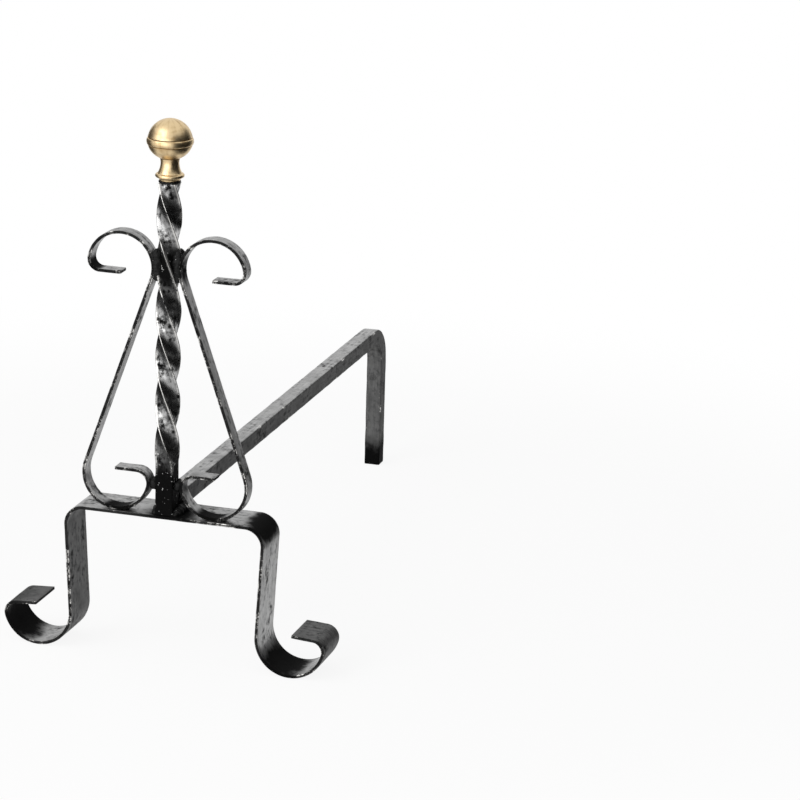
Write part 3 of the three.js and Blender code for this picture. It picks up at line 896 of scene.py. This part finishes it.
def round_off(outline, radius, steps=3):
    """Rounds every corner of an outline of (radius, lift) points, but not its first and last point."""
    points = [outline[0]]
    for before, corner, after in zip(outline, outline[1:], outline[2:]):
        a, c, b = (np.array(p, float) for p in (before, corner, after))
        reach = min(radius, np.linalg.norm(a - c) * 0.45, np.linalg.norm(b - c) * 0.45)
        enter = c + (a - c) / np.linalg.norm(a - c) * reach
        leave = c + (b - c) / np.linalg.norm(b - c) * reach
        for step in range(steps + 1):
            t = step / steps
            points.append(tuple((1 - t) ** 2 * enter + 2 * t * (1 - t) * c + t ** 2 * leave))
    return points + [outline[-1]]


# %% The ball's two shells
BALL = 16.8 * MM
BOWL_DEPTH = 14.2 * MM
SHELL_WALL = 1.2 * MM
BALL_HEIGHT = (band_low.z + band_high.z) / 2
BAND_HEIGHT = 5.2 * MM
BAND_COLLAR = 2 * MM
SPIGOT_HOLE = 5.5 * MM
LIP = 0.35 * MM


def surface(start_lift, end_lift, across, down, steps):
    """Points of a half ellipse from one lift to another, measured from the ball's centre."""
    start, end = (math.asin(max(-1, min(1, lift / down))) for lift in (start_lift, end_lift))
    angles = [start + (end - start) * step / steps for step in range(steps + 1)]
    return [(abs(across * math.cos(a)) if abs(a) < math.pi / 2 - 1e-6 else 0.0, down * math.sin(a)) for a in angles]


def radius_at(lift, across, down):
    return across * math.sqrt(1 - (lift / down) ** 2)


EDGE = BAND_HEIGHT / 2 + SEAT_GAP
INNER, INNER_DEPTH = BALL - SHELL_WALL, BOWL_DEPTH - SHELL_WALL
hole_depth = BOWL_DEPTH * math.sqrt(1 - (SPIGOT_HOLE / BALL) ** 2)
inner_hole_depth = INNER_DEPTH * math.sqrt(1 - (SPIGOT_HOLE / INNER) ** 2)

upper_shell = revolve("ball_upper", [
    *surface(INNER, EDGE, INNER, INNER, 16),
    (radius_at(EDGE, BALL, BALL) - LIP, EDGE),
    *surface(EDGE + LIP * 0.6, BALL, BALL, BALL, 36),
], BALL_HEIGHT, closed=False)
lower_shell = revolve("ball_lower", [
    *surface(-hole_depth, -EDGE - LIP * 0.6, BALL, BOWL_DEPTH, 30),
    (radius_at(EDGE, BALL, BOWL_DEPTH) - LIP, -EDGE),
    *surface(-EDGE, -inner_hole_depth, INNER, INNER_DEPTH, 14),
], BALL_HEIGHT, closed=True)
settle(upper_shell, brass, "finial", "brass", "finial_upper_shell")
settle(lower_shell, brass, "finial", "brass", "finial_lower_shell")
print("the ball is", round(2 * BALL / MM, 1), "mm across and its shells are", SHELL_WALL / MM, "mm thick")

# %% The bead round the ball
BAND = 17.5 * MM
BAND_COLLAR_WALL = 1.3 * MM
BAND_STEPS = 18


def band_outline():
    half, reach = BAND_HEIGHT / 2, BAND_HEIGHT / 2 + BAND_COLLAR
    foot = radius_at(reach, INNER, INNER_DEPTH) - SEAT_GAP
    mouth = radius_at(EDGE, INNER, INNER_DEPTH) - SEAT_GAP
    root = radius_at(EDGE, BALL, BOWL_DEPTH) - SEAT_GAP
    angles = [math.pi * (step / BAND_STEPS - 0.5) for step in range(BAND_STEPS + 1)]
    swell = [(root + (BAND - root) * math.cos(a) ** 0.8, half * math.sin(a)) for a in angles[1:-1]]
    return [(foot - BAND_COLLAR_WALL, -reach), (foot, -reach), (mouth, -half), (root, -half), *swell,
            (root, half), (mouth, half), (foot, reach), (foot - BAND_COLLAR_WALL, reach)]


settle(revolve("ball_band", band_outline(), BALL_HEIGHT, closed=True), brass, "finial", "brass", "finial_band")
print("the bead is", BAND_HEIGHT / MM, "mm high and stands proud by", round((BAND - BALL) / MM, 1), "mm")

# %% [markdown]
# ## The turned base
#
# The base is one turned piece: a flange with a round rim, a hollow cove up to a narrow neck, and a spigot that is
# riveted over inside the bowl. It is bored from below for a threaded insert.

# %% Base
FLANGE_FOOT = 7.8 * MM
FLANGE = 10.9 * MM
FLANGE_LIFT = 3.7 * MM
FLANGE_RIM = 1.5 * MM      # the rim is rounded to this radius
NECK = 6.9 * MM
NECK_LIFT = 13.2 * MM
NECK_HEAD = 7.5 * MM
SPIGOT = 5.2 * MM
RIVET = 7 * MM
RIVET_THICKNESS = 1.2 * MM
BORE = 5.8 * MM
BORE_DEPTH = 12.8 * MM
BALL_LIFT = BALL_HEIGHT - base_low.z


def curve(points, steps):
    """A Bezier curve through its first and last control point, without the first point."""
    order = len(points) - 1
    result = []
    for step in range(1, steps + 1):
        t = step / steps
        weights = [math.comb(order, k) * (1 - t) ** (order - k) * t ** k for k in range(order + 1)]
        result.append(tuple(sum(w * p[side] for w, p in zip(weights, points)) for side in (0, 1)))
    return result


def base_outline():
    rim = FLANGE_LIFT + FLANGE_RIM
    rise = NECK_LIFT - rim
    head = BALL_LIFT - SEAT_GAP - BOWL_DEPTH * math.sqrt(1 - (NECK_HEAD / BALL) ** 2)
    seat = BALL_LIFT - SEAT_GAP - BOWL_DEPTH * math.sqrt(1 - (SPIGOT / BALL) ** 2)
    inside = BALL_LIFT + SEAT_GAP - INNER_DEPTH * math.sqrt(1 - (SPIGOT / INNER) ** 2)
    rivet = BALL_LIFT + SEAT_GAP - INNER_DEPTH * math.sqrt(1 - (RIVET / INNER) ** 2)
    return [
        (0, BORE_DEPTH), (BORE, BORE_DEPTH), (BORE, 0), (FLANGE_FOOT - 0.2 * MM, 0), (FLANGE_FOOT, 0.15 * MM),
        *curve([(FLANGE_FOOT, 0.15 * MM), (FLANGE_FOOT + 0.2 * MM, 1.4 * MM), (FLANGE - 1.5 * MM, 2.2 * MM)], 6),
        *[(FLANGE - FLANGE_RIM + FLANGE_RIM * math.sin(a), FLANGE_LIFT - FLANGE_RIM * math.cos(a))
          for a in (math.pi * step / 12 for step in range(1, 12))],
        *curve([(FLANGE - FLANGE_RIM, rim), (FLANGE - 1.9 * MM, rim + 0.2 * MM), (NECK + 1.4 * MM, rim + rise * 0.2),
                (NECK + 0.1 * MM, rim + rise * 0.5), (NECK, NECK_LIFT)], 20),
        *curve([(NECK, NECK_LIFT), (NECK, (NECK_LIFT + head) / 2), (NECK_HEAD, head)], 8),
        (SPIGOT, seat), (SPIGOT, inside), (RIVET, rivet), (RIVET - 0.4 * MM, rivet + RIVET_THICKNESS),
        (0, rivet + RIVET_THICKNESS)]


base = revolve("finial_foot", base_outline(), base_low.z, closed=False)
settle(base, brass, "finial", "brass", "finial_base")
print("neck", round(2 * NECK / MM, 1), "mm, flange", round(2 * FLANGE / MM, 1), "mm across")

# %% [markdown]
# ## Washer and stud
#
# A black washer hides the post's raw end. The stud shows only when the finial is unscrewed, and then its thread is
# what the eye goes to, so it is a real right-hand helix and not a bump: the crest climbs one pitch for every turn.

# %% Washer
washer_radius = (washer_high.x - washer_low.x) / 2
washer_top = washer_high.z - washer_low.z
WASHER_HOLE = 4.3 * MM
washer = revolve("washer", round_off([
    (WASHER_HOLE, washer_top / 2), (WASHER_HOLE, 0), (washer_radius, 0),
    (washer_radius, washer_top), (WASHER_HOLE, washer_top), (WASHER_HOLE, washer_top / 2)], 0.25 * MM)[:-1],
    washer_low.z, closed=True)
settle(washer, weld_metal, "frame", "black_iron", "finial_washer")
print("the washer is", round(washer_top / MM, 1), "mm thick")

# %% Threaded stud
PITCH = 1.25 * MM
THREAD_DEPTH = 0.55 * MM
THREAD_AROUND = 48
THREAD_STEP = PITCH / 8
THREAD_FLAT = 0.12         # the flat crest and the flat root, as shares of half a pitch
END_CHAMFER = 0.8 * MM
stud_low, stud_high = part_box("finial_stud")
STUD = (stud_high.x - stud_low.x) / 2


def threaded_stud():
    length = stud_high.z - stud_low.z
    steps = round(length / THREAD_STEP)
    rings, along = [], []
    for step in range(steps + 1):
        lift = length * step / steps
        room = min(lift, length - lift)
        fade = min(room / PITCH, 1)
        cap = STUD - max(0, END_CHAMFER - room)
        points = []
        for i in range(THREAD_AROUND):
            angle = 2 * math.pi * i / THREAD_AROUND
            phase = (lift / PITCH - angle / (2 * math.pi)) % 1
            valley = abs(2 * phase - 1)
            groove = max(0, min((valley - THREAD_FLAT) / (1 - 2 * THREAD_FLAT), 1))
            radius = min(STUD - THREAD_DEPTH * groove * fade, cap)
            points.append((radius * math.cos(angle), POST_Y + radius * math.sin(angle), stud_low.z + lift))
        rings.append(points)
        along.append(lift)
    flat = [0.0] * THREAD_AROUND
    return skin("stud", rings, along, [i * PITCH for i in range(THREAD_AROUND + 1)], flat, flat)


settle(threaded_stud(), steel, "frame", "steel", "finial_stud")
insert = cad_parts["finial_insert"]
insert.data.materials.clear()
insert.data.materials.append(steel)
print("turns of thread on the stud:", round((stud_high.z - stud_low.z) / PITCH))

# %% [markdown]
# ## Floor and light
#
# The andiron stands on a white floor in a white room. A ray that comes straight from the camera, or from a shiny
# surface, finds both of them white, and a little of the floor's own shading is kept for the shadow. Dark metal looks
# flat in a white room, because it shows its surroundings, so black cards stand close by, out of the picture. They
# draw a dark side along every twisted facet and a soft dark rim on the ball. Two soft lamps in front give the bright
# side: a large one high up to the left, like a window, and a low one for the upright facets.

# %% Floor
FLOOR_SIDE = 7.0
FLOOR_HEIGHT = -0.0002     # just below the feet
CENTRE = (0.0, -0.05)
SHADOW = 0.1               # how much of its own shading the floor shows near the andiron
SHADOW_ENDS = 0.4, 0.9     # where that fades out


def seen_directly(r):
    """1 for the rays that show the background: to the camera, in a shiny surface, or through glass."""
    camera, glossy, through = r.add(
        "ShaderNodeLightPath", {}, {}, output=["Is Camera Ray", "Is Glossy Ray", "Is Transmission Ray"])
    return (camera + glossy + through).between(0.0, 1.0)


def white_floor():
    r = Recipe("white_floor")
    x, y, _ = r.parts(r.place())
    reach = ((x - CENTRE[0]) ** 2.0 + (y - CENTRE[1]) ** 2.0) ** 0.5
    glow = r.add("ShaderNodeEmission", {}, {"Color": (1, 1, 1, 1), "Strength": 1.0})
    seen = seen_directly(r) * (1.0 - SHADOW + reach.between(*SHADOW_ENDS) * SHADOW)
    shown = r.add("ShaderNodeMixShader", {}, {0: seen, 1: Socket(r, r.shader.outputs[0]), 2: glow})
    r.feed(r.tree.nodes["Material Output"].inputs["Surface"], shown)
    return r.set(base_color=(0.85, 0.85, 0.85, 1), roughness=0.9, specular_ior_level=0.0)


half = FLOOR_SIDE / 2
floor = new_object("floor", [(-half, -half, FLOOR_HEIGHT), (half, -half, FLOOR_HEIGHT), (half, half, FLOOR_HEIGHT),
                             (-half, half, FLOOR_HEIGHT)], [(0, 1, 2, 3)])
floor.data.materials.append(white_floor())
print("the floor is", FLOOR_SIDE, "m wide")


# %% Room
def room_light():
    """White to look at, and a soft light from above, the front and the left."""
    world = bpy.data.worlds.new("studio")
    bpy.context.scene.world = world
    world.use_nodes = True
    r = Recipe.of_tree(world.node_tree)
    x, y, z = r.parts(r.add("ShaderNodeTexCoord", {}, {}, output="Generated"))
    strength = 0.15 + (z * 0.5 - y * 0.8 - x * 0.5).between(-0.3, 0.9) * 0.75
    white = r.add("ShaderNodeBackground", {}, {"Color": (1, 1, 1, 1), "Strength": 1.0})
    room = r.add("ShaderNodeBackground", {}, {"Color": (1, 1, 1, 1), "Strength": strength})
    shown = r.add("ShaderNodeMixShader", {}, {0: seen_directly(r), 1: room, 2: white})
    r.feed(r.tree.nodes["World Output"].inputs["Surface"], shown)


def black_card(name, corners, faces):
    """A black card that only shiny surfaces see: it throws no shadow and isn't in the picture."""
    card = new_object(name, corners, faces)
    card.data.materials.append(card_finish)
    card.visible_camera = card.visible_diffuse = card.visible_shadow = False


def bent_card(name, radius, start, end, height):
    """A standing card bent round the post, from one angle to another. 0 is towards the camera, 90 to its right."""
    steps, corners = 24, []
    for step in range(steps + 1):
        angle = math.radians(start + (end - start) * step / steps) + CAMERA_AROUND
        x, y = radius * math.sin(angle), POST_Y - radius * math.cos(angle)
        corners += [(x, y, 0.0), (x, y, height)]
    black_card(name, corners, [(2 * i, 2 * i + 2, 2 * i + 3, 2 * i + 1) for i in range(steps)])


def soft_lamp(name, place, target, size, power):
    lamp = bpy.data.lights.new(name, "AREA")
    lamp.shape, lamp.size, lamp.size_y, lamp.energy = "RECTANGLE", size[0], size[1], power
    holder = bpy.data.objects.new(name, lamp)
    holder.location = place
    holder.rotation_mode = "QUATERNION"
    holder.rotation_quaternion = (Vector(target) - Vector(place)).to_track_quat("-Z", "Y")
    holder.visible_camera = False
    bpy.context.scene.collection.objects.link(holder)


CAMERA_AROUND = math.radians(16.41)
card_finish = Recipe("black_card").set(base_color=(0.01, 0.01, 0.01, 1), roughness=1.0, specular_ior_level=0.0)
bent_card("card_right", 0.45, 18, 132, 0.7)
bent_card("card_left", 0.4, -150, -92, 0.6)
black_card("card_low", [(0.2, -0.75, 0.002), (0.48, -0.75, 0.002), (0.48, 0.2, 0.002), (0.2, 0.2, 0.002)],
           [(0, 1, 2, 3)])
room_light()
AIM = (0, -0.15, 0.2)
soft_lamp("window", (-0.9, -1.5, 1.5), AIM, (1.3, 1.5), 15)
soft_lamp("strip", (-0.33, -1.6, 0.4), AIM, (1.5, 0.8), 6.5)
print("lamps:", [lamp.name for lamp in bpy.data.lights])

# %% [markdown]
# ## Camera
#
# The photograph was taken with a long lens, from a little above the finial and from the right, and the andiron
# stands to the left of the middle of the picture. The camera is placed by an angle round the object, an angle above
# it and a distance from the point in the middle of the picture. A small roll makes the post lean as it does there.

# %% Camera
CAMERA_ABOVE = math.radians(16.396)
CAMERA_DISTANCE = 2.5891
CAMERA_ROLL = math.radians(1.663)
PICTURE_MIDDLE = Vector((0.1783, STRAP_Y, 0.2231))
LENS = 157.76

back = Vector((math.sin(CAMERA_AROUND) * math.cos(CAMERA_ABOVE),
               -math.cos(CAMERA_AROUND) * math.cos(CAMERA_ABOVE), math.sin(CAMERA_ABOVE)))
camera = bpy.data.objects.new("camera", bpy.data.cameras.new("camera"))
camera.data.lens = LENS
camera.data.sensor_width = 36
camera.data.clip_end = 50
camera.location = PICTURE_MIDDLE + back * CAMERA_DISTANCE
camera.rotation_mode = "QUATERNION"
camera.rotation_quaternion = Quaternion(back, CAMERA_ROLL) @ (-back).to_track_quat("-Z", "Y")
bpy.context.scene.collection.objects.link(camera)
bpy.context.scene.camera = camera
bpy.context.scene.view_settings.view_transform = "Standard"
print("camera at", [round(value, 3) for value in camera.location])
